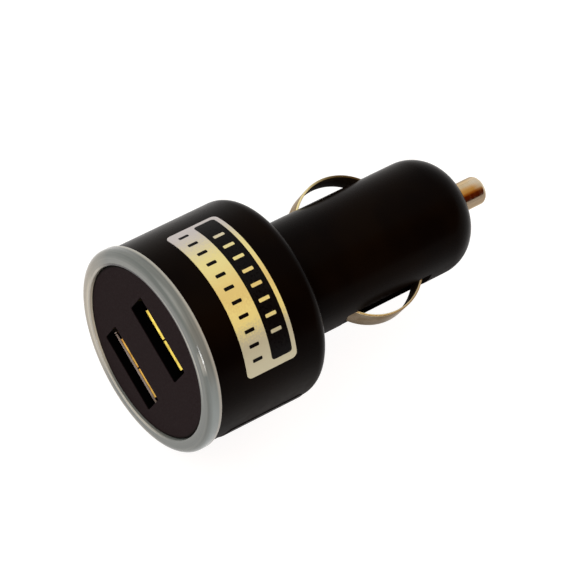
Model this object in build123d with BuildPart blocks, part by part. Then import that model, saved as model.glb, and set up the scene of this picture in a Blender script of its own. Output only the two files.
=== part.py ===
from build123d import *
from math import degrees, sqrt
import os

# Car USB charger plug. The plug's axis runs along Y, with the port face towards -Y and the centre pin
# towards +Y. X runs through the side contacts, Z is up, and the origin is on the axis at the shoulder.
# All sizes are in millimetres.

# Plug barrel that goes into the vehicle socket
barrel_diameter = 21.0
barrel_length = 40.3
barrel_wall = 1.6
nose_wall = 1.8
nose_round = 7.0
barrel_root_round = 0.5

# Head, with its length counted from the light ring's face to the shoulder
head_front_diameter = 35.8
head_taper = 0.2
head_length = 25.3
head_wall = 1.8
shoulder_wall = 2.2
shoulder_round = 2.7

# Light ring round the front
ring_proud = 0.45
ring_face_width = 2.6
ring_depth = 2.45
ring_round = 1.2
ring_spigot_wall = 1.4
ring_spigot_length = 2.8

# Front cap with its port slots and snap hooks
plate_recess = 0.45
plate_thickness = 1.5
plate_edge_round = 0.2
slot_width = 14.4
slot_height = 5.3
slot_corner = 0.4
collar_depth = 0.6
collar_wall = 0.7
ledge_inset = 0.05
ledge_depth = 0.3
ledge_height = 0.15
hook_angles = (32.0, 148.0, 212.0, 328.0)
hook_span = 22.0
hook_wall = 1.1
hook_barb = 0.8
hook_barb_length = 1.6
rib_thickness = 1.0
rib_from_ring = 5.6

# USB receptacles
port_spacing = 13.9
port_pair_height = -0.95
shell_inner_width = 12.5
shell_inner_height = 5.12
shell_wall = 0.3
shell_corner = 0.5
shell_length = 10.6
shell_seam = 0.3
shell_lip_length = 0.8
shell_lip_flare = 0.45
shell_leg_width = 1.6
shell_leg_from_rear = 2.5
finger_width = 1.6
finger_length = 4.2
finger_spacing = 5.4
finger_bend = 0.25
finger_from_front = 2.4
tongue_width = 11.1
tongue_thickness = 1.84
tongue_rise = 0.9
tongue_recess = 1.8
insulator_base_length = 4.0
insulator_overhang = 1.4
usb_contact_width = 1.0
usb_contact_thickness = 0.3
usb_contact_positions = (-3.5, -1.0, 1.0, 3.5)
usb_contact_setback = 0.9

# Circuit board and the rails that hold its edges
board_thickness = 1.2
board_front_gap = 0.5
rail_wall = 1.2
rail_groove = 1.2
rail_length = 11.0

# Centre pin, its spring and the terminal on the board's end
pin_diameter = 5.2
pin_reach = 6.9
pin_end_round = 1.1
pin_flange_diameter = 8.0
pin_flange_thickness = 1.2
pin_spigot_diameter = 3.4
pin_spigot_length = 2.4
pin_travel = 3.0
spring_diameter = 5.0
spring_wire = 0.6
spring_turns = 5.0
spring_spare = 5.0
terminal_diameter = 6.8
terminal_thickness = 0.8
terminal_tab_width = 3.0
terminal_tab_length = 3.0
terminal_tab_thickness = 0.4

# Bowed side contacts
leaf_width = 4.4
leaf_thickness = 0.4
leaf_height = 2.8
leaf_chord = 13.8
leaf_to_nose = 21.1
leaf_foot_length = 2.4
leaf_bend_radius = 0.8
leaf_travel = 2.5

# Labels on the head
label_thickness = 0.12
label_from_front = 8.0
label_width = 10.1
label_length = 30.2
label_middle = 90.0
label_corner = 1.0
sticker_thickness = 0.15
sticker_from_front = 6.2
sticker_width = 15.4
sticker_length = 29.6
sticker_middle = -45.5

# Electronics
part_spacing = 0.8
can_diameter = 6.3
can_height = 5.6
can_base = 6.6
can_base_height = 1.0
can_base_chamfer = 1.2
can_round = 0.4
drum_diameter = 6.8
drum_core_diameter = 3.6
drum_height = 4.6
drum_flange = 0.9
winding_diameter = 6.0
chip_length = 4.9
chip_width = 3.9
chip_height = 1.5
chip_standoff = 0.15
chip_lead_pitch = 1.27
chip_lead_count = 4
chip_lead_width = 0.42
chip_lead_thickness = 0.22
chip_lead_reach = 1.05
diode_length = 4.3
diode_width = 2.6
diode_height = 2.1
diode_tab_width = 1.5
diode_tab_reach = 0.5
diode_tab_thickness = 0.25
led_length = 3.4
led_width = 2.6
led_height = 1.8
led_window_diameter = 1.8
led_window_depth = 0.4
led_edge_margin = 0.9
resistor_length = 2.0
resistor_width = 1.25
resistor_height = 0.55
resistor_count = 4
resistor_pitch = 2.6

# Clearances
seat_gap = 0.1
running_gap = 0.25
side_gap = 0.4
contact_gap = 0.05

# How near an edge's radius and station have to be to be picked for a round
match_tolerance = 1e-4

# Stations along the axis, worked out from the sizes above
front_y = -head_length
plate_front_y = front_y + plate_recess
plate_back_y = plate_front_y + plate_thickness
ring_back_y = front_y + ring_depth
nose_inner_y = barrel_length - nose_wall
rib_front_y = ring_back_y + rib_from_ring
rib_back_y = rib_front_y + rib_thickness
collar_back_y = plate_back_y + collar_depth
shell_front_y = collar_back_y + seat_gap
shell_body_y = shell_front_y + shell_lip_length
shell_back_y = shell_front_y + shell_length
insulator_back_y = shell_back_y + insulator_overhang
insulator_front_y = insulator_back_y - insulator_base_length
tongue_front_y = shell_front_y + tongue_recess
board_front_y = ring_back_y + ring_spigot_length + board_front_gap
rail_front_y = -shoulder_wall - rail_length
board_back_y = -shoulder_wall - seat_gap
leaf_y = barrel_length - leaf_to_nose
pin_flange_y = nose_inner_y - seat_gap - pin_flange_thickness
spring_room = pin_travel + (spring_turns + 1) * spring_wire + spring_spare
terminal_face_y = pin_flange_y - spring_room
board_end_y = terminal_face_y - terminal_thickness - seat_gap
terminal_tab_y = board_end_y - terminal_tab_length
usb_tail_y = insulator_back_y + contact_gap
behind_ports_y = usb_tail_y + usb_contact_thickness + part_spacing
drum_y = terminal_tab_y - part_spacing - drum_diameter / 2
input_can_y = drum_y - drum_diameter / 2 - part_spacing - can_base / 2
output_can_y = behind_ports_y + can_base / 2
diode_y = terminal_tab_y - part_spacing - diode_width / 2
chip_y = diode_y - diode_width / 2 - part_spacing - chip_length / 2
resistor_y = behind_ports_y + resistor_length / 2
led_y = board_front_y + led_edge_margin + led_width / 2

# Radii and widths, worked out from the sizes above
barrel_radius = barrel_diameter / 2
barrel_bore = barrel_radius - barrel_wall
head_rear_diameter = head_front_diameter + head_taper
head_front_radius = head_front_diameter / 2
head_rear_radius = head_rear_diameter / 2
head_bore = head_front_radius - head_wall
ring_radius = head_front_radius + ring_proud
plate_opening = ring_radius - ring_face_width
spigot_radius = head_bore - seat_gap
spigot_bore = spigot_radius - ring_spigot_wall
plate_radius = plate_opening - seat_gap
hook_radius = spigot_bore - seat_gap
rib_bore = hook_radius + seat_gap
pin_radius = pin_diameter / 2
pin_hole_radius = pin_radius + running_gap
shell_width = shell_inner_width + 2 * shell_wall
shell_height = shell_inner_height + 2 * shell_wall
board_bottom = port_pair_height - board_thickness / 2
board_top = port_pair_height + board_thickness / 2
rail_inner = head_bore - rail_wall - rail_groove
board_half_width = rail_inner + rail_groove - seat_gap
board_front_half_width = hook_radius - hook_wall - side_gap

# Side contact: a round bow that stands leaf_height proud of the barrel, with a bend and a foot at each end
half_leaf = leaf_thickness / 2
leaf_foot_x = sqrt(barrel_bore**2 - (leaf_width / 2) ** 2) - running_gap - half_leaf
leaf_bow = (leaf_chord**2 / 4 + leaf_height**2) / (2 * leaf_height) - half_leaf
leaf_centre_x = barrel_radius + leaf_height - half_leaf - leaf_bow
leaf_bend_x = leaf_foot_x + leaf_bend_radius
leaf_reach = sqrt((leaf_bow + leaf_bend_radius) ** 2 - (leaf_bend_x - leaf_centre_x) ** 2)
leaf_slot_length = 2 * (leaf_reach + side_gap)
leaf_slot_width = leaf_width + 2 * side_gap
board_tail_half_width = leaf_foot_x - half_leaf - leaf_travel - running_gap
led_x = board_front_half_width - led_edge_margin - led_length / 2


def across(y):
    """Plane across the plug at station y, with X right and Z up, facing the port side."""
    return Plane.XZ.offset(-y)


def lengthwise(angle):
    """Half plane through the axis: its x is the radius at this angle from +X, its y the station."""
    return Plane.XY.rotated((0, -angle, 0))


def head_radius_at(y):
    """Radius of the head's outside at station y."""
    share = (y - ring_back_y) / -ring_back_y
    return head_front_radius + share * (head_rear_radius - head_front_radius)


def circle_at(shape, radius, y):
    """Round edges of a shape that have this radius and lie at station y."""
    rounds = shape.edges().filter_by(GeomType.CIRCLE)
    rounds = rounds.filter_by(lambda edge: abs(edge.radius - radius) < match_tolerance)
    return rounds.filter_by(lambda edge: abs(edge.center().Y - y) < match_tolerance)


def write(builder, name):
    """Name a finished piece and write its file."""
    builder.part.label = name
    export_step(builder.part, f"parts/{name}.step")


os.makedirs("parts", exist_ok=True)

# Housing: head and barrel in one moulding
with BuildPart() as housing:
    with BuildSketch():
        Polygon(
            (0, ring_back_y),
            (head_front_radius, ring_back_y),
            (head_rear_radius, 0),
            (barrel_radius, 0),
            (barrel_radius, barrel_length),
            (0, barrel_length),
            align=None,
        )
    revolve(axis=Axis.Y)
    fillet(circle_at(housing, head_rear_radius, 0), shoulder_round)
    fillet(circle_at(housing, barrel_radius, 0), barrel_root_round)
    fillet(circle_at(housing, barrel_radius, barrel_length), nose_round)
    # Hollow inside, with the nose's wall following its outer round
    with BuildSketch():
        with BuildLine():
            FilletPolyline(
                (0, ring_back_y),
                (head_bore, ring_back_y),
                (head_bore, -shoulder_wall),
                (barrel_bore, -shoulder_wall),
                (barrel_bore, nose_inner_y),
                (0, nose_inner_y),
                radius=(0, 0, 0, 0, nose_round - nose_wall, 0),
                close=True,
            )
        make_face()
    revolve(axis=Axis.Y, mode=Mode.SUBTRACT)
    # Rib that the front cap's hooks catch behind
    with BuildSketch():
        Polygon(
            (head_bore + head_wall / 2, rib_front_y),
            (rib_bore + hook_barb / 2, rib_front_y),
            (rib_bore, rib_front_y + rib_thickness / 2),
            (rib_bore, rib_back_y),
            (head_bore + head_wall / 2, rib_back_y),
            align=None,
        )
    revolve(axis=Axis.Y)
    # Rails for the board's edges
    with BuildSketch(across(-shoulder_wall)):
        with Locations((rail_inner, port_pair_height), (-rail_inner, port_pair_height)):
            Rectangle(2 * (head_bore - rail_inner), board_thickness + 2 * (rail_wall + seat_gap))
        Circle(head_bore + head_wall / 2, mode=Mode.INTERSECT)
        Rectangle(2 * rail_inner, 2 * head_bore, mode=Mode.SUBTRACT)
        with Locations((0, port_pair_height)):
            Rectangle(2 * (rail_inner + rail_groove), board_thickness + 2 * seat_gap, mode=Mode.SUBTRACT)
    extrude(amount=rail_length)
    # Hole for the centre pin and slots for the side contacts
    with BuildSketch(across(barrel_length)):
        Circle(pin_hole_radius)
    extrude(amount=2 * nose_wall, mode=Mode.SUBTRACT)
    with BuildSketch(Plane.YZ):
        with Locations((leaf_y, 0)):
            RectangleRounded(leaf_slot_length, leaf_slot_width, side_gap)
    extrude(amount=barrel_diameter, both=True, mode=Mode.SUBTRACT)
write(housing, "housing")

# Light ring: rounded face, seat for the cap and a spigot inside the head
with BuildPart() as light_ring:
    with BuildSketch():
        Polygon(
            (plate_opening, front_y),
            (ring_radius, front_y),
            (ring_radius, ring_back_y),
            (spigot_radius, ring_back_y),
            (spigot_radius, ring_back_y + ring_spigot_length),
            (spigot_bore, ring_back_y + ring_spigot_length),
            (spigot_bore, plate_back_y),
            (plate_opening, plate_back_y),
            align=None,
        )
    revolve(axis=Axis.Y)
    fillet(circle_at(light_ring, ring_radius, front_y), ring_round)
    fillet(circle_at(light_ring, plate_opening, front_y), plate_edge_round)
write(light_ring, "light_ring")

port_heights = {"upper": port_pair_height + port_spacing / 2, "lower": port_pair_height - port_spacing / 2}

# Front cap: round plate with a collar behind each of its two slots, and four snap hooks
port_places = [(0, height) for height in port_heights.values()]
with BuildPart() as front_cap:
    with BuildSketch(across(plate_back_y)):
        Circle(plate_radius)
    extrude(amount=plate_thickness)
    fillet(circle_at(front_cap, plate_radius, plate_front_y), plate_edge_round)
    with BuildSketch(across(collar_back_y)):
        with Locations(*port_places):
            RectangleRounded(
                slot_width + 2 * collar_wall,
                slot_height + 2 * collar_wall,
                slot_corner + collar_wall,
            )
    extrude(amount=collar_depth)
    with BuildSketch(across(collar_back_y)):
        with Locations(*port_places):
            RectangleRounded(slot_width, slot_height, slot_corner)
    extrude(amount=collar_depth + plate_thickness, mode=Mode.SUBTRACT)
    # Low ledge along the bottom of the lower slot, just inside its collar's back
    with BuildSketch(across(collar_back_y - ledge_inset)):
        with Locations((0, port_heights["lower"] - slot_height / 2)):
            Rectangle(slot_width - 2 * slot_corner, 2 * ledge_height)
    extrude(amount=ledge_depth)
    for angle in hook_angles:
        with BuildSketch(lengthwise(angle + hook_span / 2)):
            Polygon(
                (hook_radius - hook_wall, plate_back_y),
                (hook_radius, plate_back_y),
                (hook_radius, rib_back_y + seat_gap),
                (hook_radius + hook_barb, rib_back_y + seat_gap),
                (hook_radius, rib_back_y + seat_gap + hook_barb_length),
                (hook_radius - hook_wall, rib_back_y + seat_gap + hook_barb_length),
                align=None,
            )
        revolve(axis=Axis.Y, revolution_arc=hook_span)
write(front_cap, "front_cap")


def wrapped_label(name, start, width, middle, length, thickness, corner):
    """Thin label bent round the head: a strip of the head's own slope, turned through its length."""
    span = degrees(length / head_radius_at(start + width / 2))
    with BuildPart() as label:
        with BuildSketch(lengthwise(middle + span / 2)):
            Polygon(
                (head_radius_at(start), start),
                (head_radius_at(start) + thickness, start),
                (head_radius_at(start + width) + thickness, start + width),
                (head_radius_at(start + width), start + width),
                align=None,
            )
        revolve(axis=Axis.Y, revolution_arc=span)
        corners = label.edges().filter_by(GeomType.LINE).filter_by(lambda edge: edge.length < 2 * thickness)
        fillet(corners, corner)
    write(label, name)


wrapped_label(
    "badge_label",
    front_y + label_from_front,
    label_width,
    label_middle,
    label_length,
    label_thickness,
    label_corner,
)
wrapped_label(
    "side_label",
    front_y + sticker_from_front,
    sticker_width,
    sticker_middle,
    sticker_length,
    sticker_thickness,
    label_corner,
)


def side_contact(name, side):
    """Bowed strip: foot, small bend and half the bow, mirrored about the middle of the strip."""
    with BuildPart() as contact:
        with BuildSketch(Plane.XY.offset(-leaf_width / 2)):
            with BuildLine() as path:
                bend = (side * leaf_bend_x, leaf_y - leaf_reach)
                share = leaf_bow / (leaf_bow + leaf_bend_radius)
                meet_x = leaf_centre_x + share * (leaf_bend_x - leaf_centre_x)
                meet = (side * meet_x, leaf_y - share * leaf_reach)
                foot = (side * leaf_foot_x, bend[1])
                Line((foot[0], foot[1] - leaf_foot_length), foot)
                RadiusArc(foot, meet, side * leaf_bend_radius)
                RadiusArc(meet, (side * (leaf_centre_x + leaf_bow), leaf_y), -side * leaf_bow)
                mirror(about=Plane.XZ.offset(-leaf_y))
            trace(path.line, line_width=leaf_thickness)
        extrude(amount=leaf_width)
    write(contact, name)


side_contact("side_contact_right", 1)
side_contact("side_contact_left", -1)

# Centre pin with the flange that stops it inside the nose, and a spigot for its spring
with BuildPart() as tip_contact:
    with BuildSketch():
        Polygon(
            (0, pin_flange_y - pin_spigot_length),
            (pin_spigot_diameter / 2, pin_flange_y - pin_spigot_length),
            (pin_spigot_diameter / 2, pin_flange_y),
            (pin_flange_diameter / 2, pin_flange_y),
            (pin_flange_diameter / 2, pin_flange_y + pin_flange_thickness),
            (pin_radius, pin_flange_y + pin_flange_thickness),
            (pin_radius, barrel_length + pin_reach),
            (0, barrel_length + pin_reach),
            align=None,
        )
    revolve(axis=Axis.Y)
    fillet(circle_at(tip_contact, pin_radius, barrel_length + pin_reach), pin_end_round)
write(tip_contact, "tip_contact")

# Terminal on the board's end: a seat for the spring, with a tab on each side of the board
with BuildPart() as tip_terminal:
    with BuildSketch(across(terminal_face_y)):
        Circle(terminal_diameter / 2)
    extrude(amount=terminal_thickness)
    with BuildSketch(across(terminal_face_y)):
        with Locations((0, port_pair_height)):
            Rectangle(terminal_tab_width, board_thickness + 2 * (terminal_tab_thickness + contact_gap))
            Rectangle(terminal_tab_width, board_thickness + 2 * contact_gap, mode=Mode.SUBTRACT)
    extrude(amount=terminal_thickness + seat_gap + terminal_tab_length)
write(tip_terminal, "tip_terminal")

# Coil spring between the terminal and the pin's flange
spring_start_y = terminal_face_y + spring_wire / 2 + contact_gap
spring_end_y = pin_flange_y - spring_wire / 2 - contact_gap
with BuildPart() as tip_spring:
    with BuildLine() as coil:
        Helix(
            pitch=(spring_end_y - spring_start_y) / spring_turns,
            height=spring_end_y - spring_start_y,
            radius=(spring_diameter - spring_wire) / 2,
            center=(0, spring_start_y, 0),
            direction=(0, 1, 0),
        )
    with BuildSketch(Plane(origin=coil.line @ 0, z_dir=coil.line % 0)):
        Circle(spring_wire / 2)
    sweep(is_frenet=True)
write(tip_spring, "tip_spring")

# Circuit board: narrow between the hooks, wide between the rails, then narrow again down the barrel
board_steps = (
    (board_front_y, rail_front_y, board_front_half_width),
    (rail_front_y, board_back_y, board_half_width),
    (board_back_y, board_end_y, board_tail_half_width),
)
with BuildPart() as circuit_board:
    with BuildSketch(Plane.XY.offset(board_bottom)):
        for start, end, half_width in board_steps:
            with Locations((0, (start + end) / 2)):
                Rectangle(2 * half_width, end - start)
    extrude(amount=board_thickness)
write(circuit_board, "circuit_board")


def usb_shell(name, height, board_side):
    """Folded metal shell: tube with a butt seam below, flared front lips, spring fingers and two legs."""
    seam_bottom = height - shell_height / 2
    leg_end = board_top if board_side < 0 else board_bottom
    with BuildPart() as shell:
        with BuildSketch(across(shell_back_y)):
            with Locations((0, height)):
                RectangleRounded(shell_width, shell_height, shell_corner + shell_wall)
                RectangleRounded(shell_inner_width, shell_inner_height, shell_corner, mode=Mode.SUBTRACT)
        extrude(amount=shell_back_y - shell_body_y)
        # Lips along the two wide walls and the two narrow walls
        for up in (1, -1):
            inner = height + up * shell_inner_height / 2
            with BuildSketch(Plane.YZ):
                Polygon(
                    (shell_body_y, inner),
                    (shell_front_y, inner + up * shell_lip_flare),
                    (shell_front_y, inner + up * (shell_lip_flare + shell_wall)),
                    (shell_body_y, inner + up * shell_wall),
                    align=None,
                )
            extrude(amount=shell_inner_width / 2 - shell_corner, both=True)
            inner = up * shell_inner_width / 2
            with BuildSketch(Plane.XY.offset(height)):
                Polygon(
                    (inner, shell_body_y),
                    (inner + up * shell_lip_flare, shell_front_y),
                    (inner + up * (shell_lip_flare + shell_wall), shell_front_y),
                    (inner + up * shell_wall, shell_body_y),
                    align=None,
                )
            extrude(amount=shell_inner_height / 2 - shell_corner, both=True)
        # Windows with a bent spring finger in each, in both wide walls
        finger_y = shell_front_y + finger_from_front + finger_length / 2
        with BuildSketch(Plane.XY.offset(height)):
            with Locations((finger_spacing / 2, finger_y), (-finger_spacing / 2, finger_y)):
                Rectangle(finger_width + 2 * shell_wall, finger_length + 2 * shell_wall)
        extrude(amount=shell_height, both=True, mode=Mode.SUBTRACT)
        for up in (1, -1):
            wall = height + up * (shell_inner_height + shell_wall) / 2
            for place in (finger_spacing / 2, -finger_spacing / 2):
                with BuildSketch(Plane.YZ.offset(place - finger_width / 2)):
                    with BuildLine() as bent:
                        Polyline(
                            (finger_y + finger_length / 2 + 2 * shell_wall, wall),
                            (finger_y + finger_length / 2, wall),
                            (finger_y - finger_length / 4, wall - up * (finger_bend + shell_wall)),
                            (finger_y - finger_length / 2, wall - up * shell_wall),
                        )
                    trace(bent.line, line_width=shell_wall)
                extrude(amount=finger_width)
        # Butt seam where the folded sheet meets
        with BuildSketch(Plane.XY.offset(seam_bottom - shell_lip_flare)):
            with Locations((0, (shell_front_y + shell_back_y) / 2)):
                Rectangle(shell_seam, 2 * shell_length)
        extrude(amount=shell_lip_flare + 2 * shell_wall, mode=Mode.SUBTRACT)
        # Legs that stand on the board
        leg_y = shell_back_y - shell_leg_from_rear
        for hand in (1, -1):
            with BuildSketch(Plane.YZ.offset(hand * (shell_width - shell_wall) / 2)):
                with Locations((leg_y, (height + leg_end) / 2)):
                    Rectangle(shell_leg_width, abs(height - leg_end))
            extrude(amount=shell_wall / 2, both=True)
    write(shell, name)


def usb_insulator(name, height, board_side):
    """Moulded block with the contact tongue in front and a foot on the board behind the shell."""
    base_width = shell_inner_width - 2 * contact_gap
    base_height = shell_inner_height - 2 * contact_gap
    foot_end = board_top if board_side < 0 else board_bottom
    groove_top = height + tongue_rise - tongue_thickness / 2 + usb_contact_thickness + contact_gap
    groove_bottom = height + tongue_rise - tongue_thickness / 2 - contact_gap
    with BuildPart() as insulator:
        with BuildSketch(across(insulator_back_y)):
            with Locations((0, height)):
                RectangleRounded(base_width, base_height, shell_corner)
        extrude(amount=insulator_base_length)
        with BuildSketch(across(insulator_front_y)):
            with Locations((0, height + tongue_rise)):
                Rectangle(tongue_width, tongue_thickness)
        extrude(amount=insulator_front_y - tongue_front_y)
        with BuildSketch(across(insulator_back_y)):
            with Locations((0, (height + foot_end) / 2)):
                Rectangle(base_width, abs(height - foot_end))
        extrude(amount=insulator_overhang - contact_gap)
        # Grooves along the tongue and holes through the block for the contacts
        with BuildSketch(across(insulator_back_y)):
            with Locations(*[(place, (groove_top + groove_bottom) / 2) for place in usb_contact_positions]):
                Rectangle(usb_contact_width + 2 * contact_gap, groove_top - groove_bottom)
        extrude(amount=insulator_back_y - tongue_front_y - usb_contact_setback / 2, mode=Mode.SUBTRACT)
    write(insulator, name)


def usb_contacts(name, height, board_side):
    """Four bent strips: flat along the tongue, through the block, then along its back to the board."""
    strip_front_y = tongue_front_y + usb_contact_setback
    strip_bottom = height + tongue_rise - tongue_thickness / 2
    strip_top = strip_bottom + usb_contact_thickness
    tail_end = board_top if board_side < 0 else board_bottom
    tail_start = strip_top if board_side < 0 else strip_bottom
    with BuildPart() as contacts:
        for place in usb_contact_positions:
            with BuildSketch(Plane.YZ.offset(place)):
                with Locations(((strip_front_y + usb_tail_y) / 2, (strip_top + strip_bottom) / 2)):
                    Rectangle(usb_tail_y - strip_front_y, usb_contact_thickness)
                with Locations((usb_tail_y + usb_contact_thickness / 2, (tail_start + tail_end) / 2)):
                    Rectangle(usb_contact_thickness, abs(tail_start - tail_end))
            extrude(amount=usb_contact_width / 2, both=True)
    write(contacts, name)


for port, height in port_heights.items():
    board_side = -1 if port == "upper" else 1
    usb_shell(f"usb_shell_{port}", height, board_side)
    usb_insulator(f"usb_insulator_{port}", height, board_side)
    usb_contacts(f"usb_contacts_{port}", height, board_side)


def can_capacitor(name, y, face, up):
    """Standing can on a square foot with two cut corners; up is 1 on the board's top and -1 below it."""
    with BuildPart() as capacitor:
        with BuildSketch(Plane.XY.offset(face)) as foot:
            with Locations((0, y)):
                Rectangle(can_base, can_base)
            chamfer(foot.vertices().group_by(Axis.Y)[-1], can_base_chamfer)
        extrude(amount=up * can_base_height)
        with BuildSketch(Plane.XY.offset(face)):
            with Locations((0, y)):
                Circle(can_diameter / 2)
        extrude(amount=up * (can_base_height + can_height))
        rims = capacitor.edges().filter_by(GeomType.CIRCLE).sort_by(Axis.Z)
        fillet(rims[-1] if up > 0 else rims[0], can_round)
    write(capacitor, name)


can_capacitor("input_capacitor", input_can_y, board_top, 1)
can_capacitor("output_capacitor", output_can_y, board_bottom, -1)

# Choke: ferrite drum with its winding between the two flanges
with BuildPart() as choke_core:
    with BuildSketch(Plane.XY.offset(board_top)):
        with Locations((0, drum_y)):
            Circle(drum_diameter / 2)
    extrude(amount=drum_height)
    with BuildSketch(Plane.XY.offset(board_top + drum_flange)):
        with Locations((0, drum_y)):
            Circle(drum_diameter / 2)
            Circle(drum_core_diameter / 2, mode=Mode.SUBTRACT)
    extrude(amount=drum_height - 2 * drum_flange, mode=Mode.SUBTRACT)
write(choke_core, "choke_core")

with BuildPart() as choke_winding:
    with BuildSketch(Plane.XY.offset(board_top + drum_flange + contact_gap)):
        with Locations((0, drum_y)):
            Circle(winding_diameter / 2)
            Circle(drum_core_diameter / 2 + contact_gap, mode=Mode.SUBTRACT)
    extrude(amount=drum_height - 2 * (drum_flange + contact_gap))
write(choke_winding, "choke_winding")

# Converter chip below the board, with bent leads along both sides
with BuildPart() as converter_chip:
    with BuildSketch(Plane.XY.offset(board_bottom - chip_standoff)):
        with Locations((0, chip_y)):
            Rectangle(chip_width, chip_length)
    extrude(amount=-chip_height)
    lead_root = board_bottom - chip_standoff - chip_height / 2
    lead_foot = board_bottom - chip_lead_thickness / 2
    for place in range(chip_lead_count):
        lead_y = chip_y + (place - (chip_lead_count - 1) / 2) * chip_lead_pitch
        for hand in (1, -1):
            with BuildSketch(across(lead_y + chip_lead_width / 2)):
                with BuildLine() as lead:
                    Polyline(
                        (hand * (chip_width / 2 - chip_lead_thickness), lead_root),
                        (hand * (chip_width / 2 + chip_lead_reach / 3), lead_root),
                        (hand * (chip_width / 2 + chip_lead_reach / 2), lead_foot),
                        (hand * (chip_width / 2 + chip_lead_reach), lead_foot),
                    )
                trace(lead.line, line_width=chip_lead_thickness)
            extrude(amount=chip_lead_width)
write(converter_chip, "converter_chip")

# Catch diode below the board: moulded block with a flat tab at each end
with BuildPart() as catch_diode:
    with BuildSketch(Plane.XY.offset(board_bottom)):
        with Locations((0, diode_y)):
            Rectangle(diode_length, diode_width)
    extrude(amount=-diode_height)
    with BuildSketch(Plane.XY.offset(board_bottom)):
        with Locations((0, diode_y)):
            Rectangle(diode_length + 2 * diode_tab_reach, diode_tab_width)
    extrude(amount=-diode_tab_thickness)
write(catch_diode, "catch_diode")

# Indicator lamps at the board's front corners, each with a round window
with BuildPart() as indicator_leds:
    with BuildSketch(Plane.XY.offset(board_top)):
        with Locations((led_x, led_y), (-led_x, led_y)):
            Rectangle(led_length, led_width)
    extrude(amount=led_height)
    with BuildSketch(Plane.XY.offset(board_top + led_height)):
        with Locations((led_x, led_y), (-led_x, led_y)):
            Circle(led_window_diameter / 2)
    extrude(amount=-led_window_depth, mode=Mode.SUBTRACT)
write(indicator_leds, "indicator_leds")

# Row of chip resistors behind the upper port
with BuildPart() as chip_resistors:
    with BuildSketch(Plane.XY.offset(board_top)):
        with Locations((0, resistor_y)):
            with GridLocations(resistor_pitch, 0, resistor_count, 1):
                Rectangle(resistor_width, resistor_length)
    extrude(amount=resistor_height)
write(chip_resistors, "chip_resistors")
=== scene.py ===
"""Looks of a car USB charger plug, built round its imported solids. All lengths are metres, in the solids'
frame: the plug's axis runs along Y with the port face towards -Y, X runs through the side contacts, and Z
is up."""
from math import pi, radians

import bmesh
import bpy
import numpy as np
from mathutils import Matrix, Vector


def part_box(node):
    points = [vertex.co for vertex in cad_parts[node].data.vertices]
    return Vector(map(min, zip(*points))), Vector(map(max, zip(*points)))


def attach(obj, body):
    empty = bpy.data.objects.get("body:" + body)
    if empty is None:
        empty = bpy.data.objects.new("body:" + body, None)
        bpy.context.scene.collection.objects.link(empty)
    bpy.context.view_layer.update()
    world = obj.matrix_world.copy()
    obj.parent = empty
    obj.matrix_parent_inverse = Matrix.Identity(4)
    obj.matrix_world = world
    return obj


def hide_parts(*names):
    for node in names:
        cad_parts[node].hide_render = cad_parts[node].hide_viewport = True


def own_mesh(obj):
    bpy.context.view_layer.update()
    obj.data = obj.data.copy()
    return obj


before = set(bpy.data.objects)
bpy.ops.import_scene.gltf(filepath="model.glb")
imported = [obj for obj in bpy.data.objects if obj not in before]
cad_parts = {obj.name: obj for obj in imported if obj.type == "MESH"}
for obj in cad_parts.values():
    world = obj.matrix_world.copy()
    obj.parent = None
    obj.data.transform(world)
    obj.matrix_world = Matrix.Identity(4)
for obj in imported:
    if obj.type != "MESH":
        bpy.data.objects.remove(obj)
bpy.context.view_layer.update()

bl_info = {
    "name": "Car charger plug",
    "version": (1, 0, 0),
    "blender": (4, 5, 0),
    "location": "View3D > Sidebar > Charger",
    "description": "Dresses the solids of a car charger plug with smooth surfaces and finishes",
    "category": "Object",
}

MM = 0.001
BODY = "plug_body"
WHITE = (1.0, 1.0, 1.0)
ring_low, ring_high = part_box("light_ring")
housing_low, housing_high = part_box("housing")
pin_low, pin_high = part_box("tip_contact")
spring_low, spring_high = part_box("tip_spring")
leaf_low, leaf_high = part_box("side_contact_right")
badge_low, badge_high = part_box("badge_label")
sticker_low, sticker_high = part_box("side_label")
plate_low, plate_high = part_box("front_cap")

# How finely the surfaces are divided.
RING_STEPS = 256
PIN_STEPS = 96
SLOT_ROWS = 30
SLOT_COLUMNS = 9
REST_COLUMNS = 72
CORNER_ROWS = 9
PATCH_ROWS = 12
PATCH_COLUMNS = 4
PATCH_STEP = 0.25 * MM
SPRING_STEPS = 320
WIRE_STEPS = 16
# Turns of the spring's wire.
SPRING_TURNS = 5.0
# Points nearer than this distance are merged, and edges sharper than this angle in degrees stay sharp.
MERGE_DISTANCE = 1e-7
SHARP_ANGLE = 35.0

# Middles of the labels round the head, in degrees from X towards Z, and the numbers of plain bars.
BADGE_ANGLE = 90.0
BAND_ANGLE = 91.0
MARKS_ANGLE = 91.5
STICKER_ANGLE = -45.5
FRONT_BARS = 11
REAR_BARS = 8

# Most of a noise lies between these two values.
NOISE_LOW = 0.3
NOISE_HIGH = 0.7
# Flattens a place on to the plane across the plug's axis.
ACROSS = (1.0, 0.0, 1.0)
# Sides of a piece: a direction across the axis, and the cosines of the angle to it where a shade starts and
# where it is full. The ring's rows place painted light and shade; the moulding's row places a duller
# roughness.
SIDES = {
    "moulding_dull": ((0.87, 0.0, -0.5), 0.5, 0.87),
    "ring_cool": ((0.985, 0.0, 0.17), 0.6, 0.92),
    "ring_glow": ((-0.71, 0.0, -0.71), 0.8, 0.95),
    "ring_plain": ((0.97, 0.0, 0.26), 0.3, 0.7),
    "ring_bright": ((0.42, 0.0, 0.91), 0.93, 0.985),
    "ring_glint": ((0.47, 0.0, 0.88), 0.99, 0.997),
}
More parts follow.
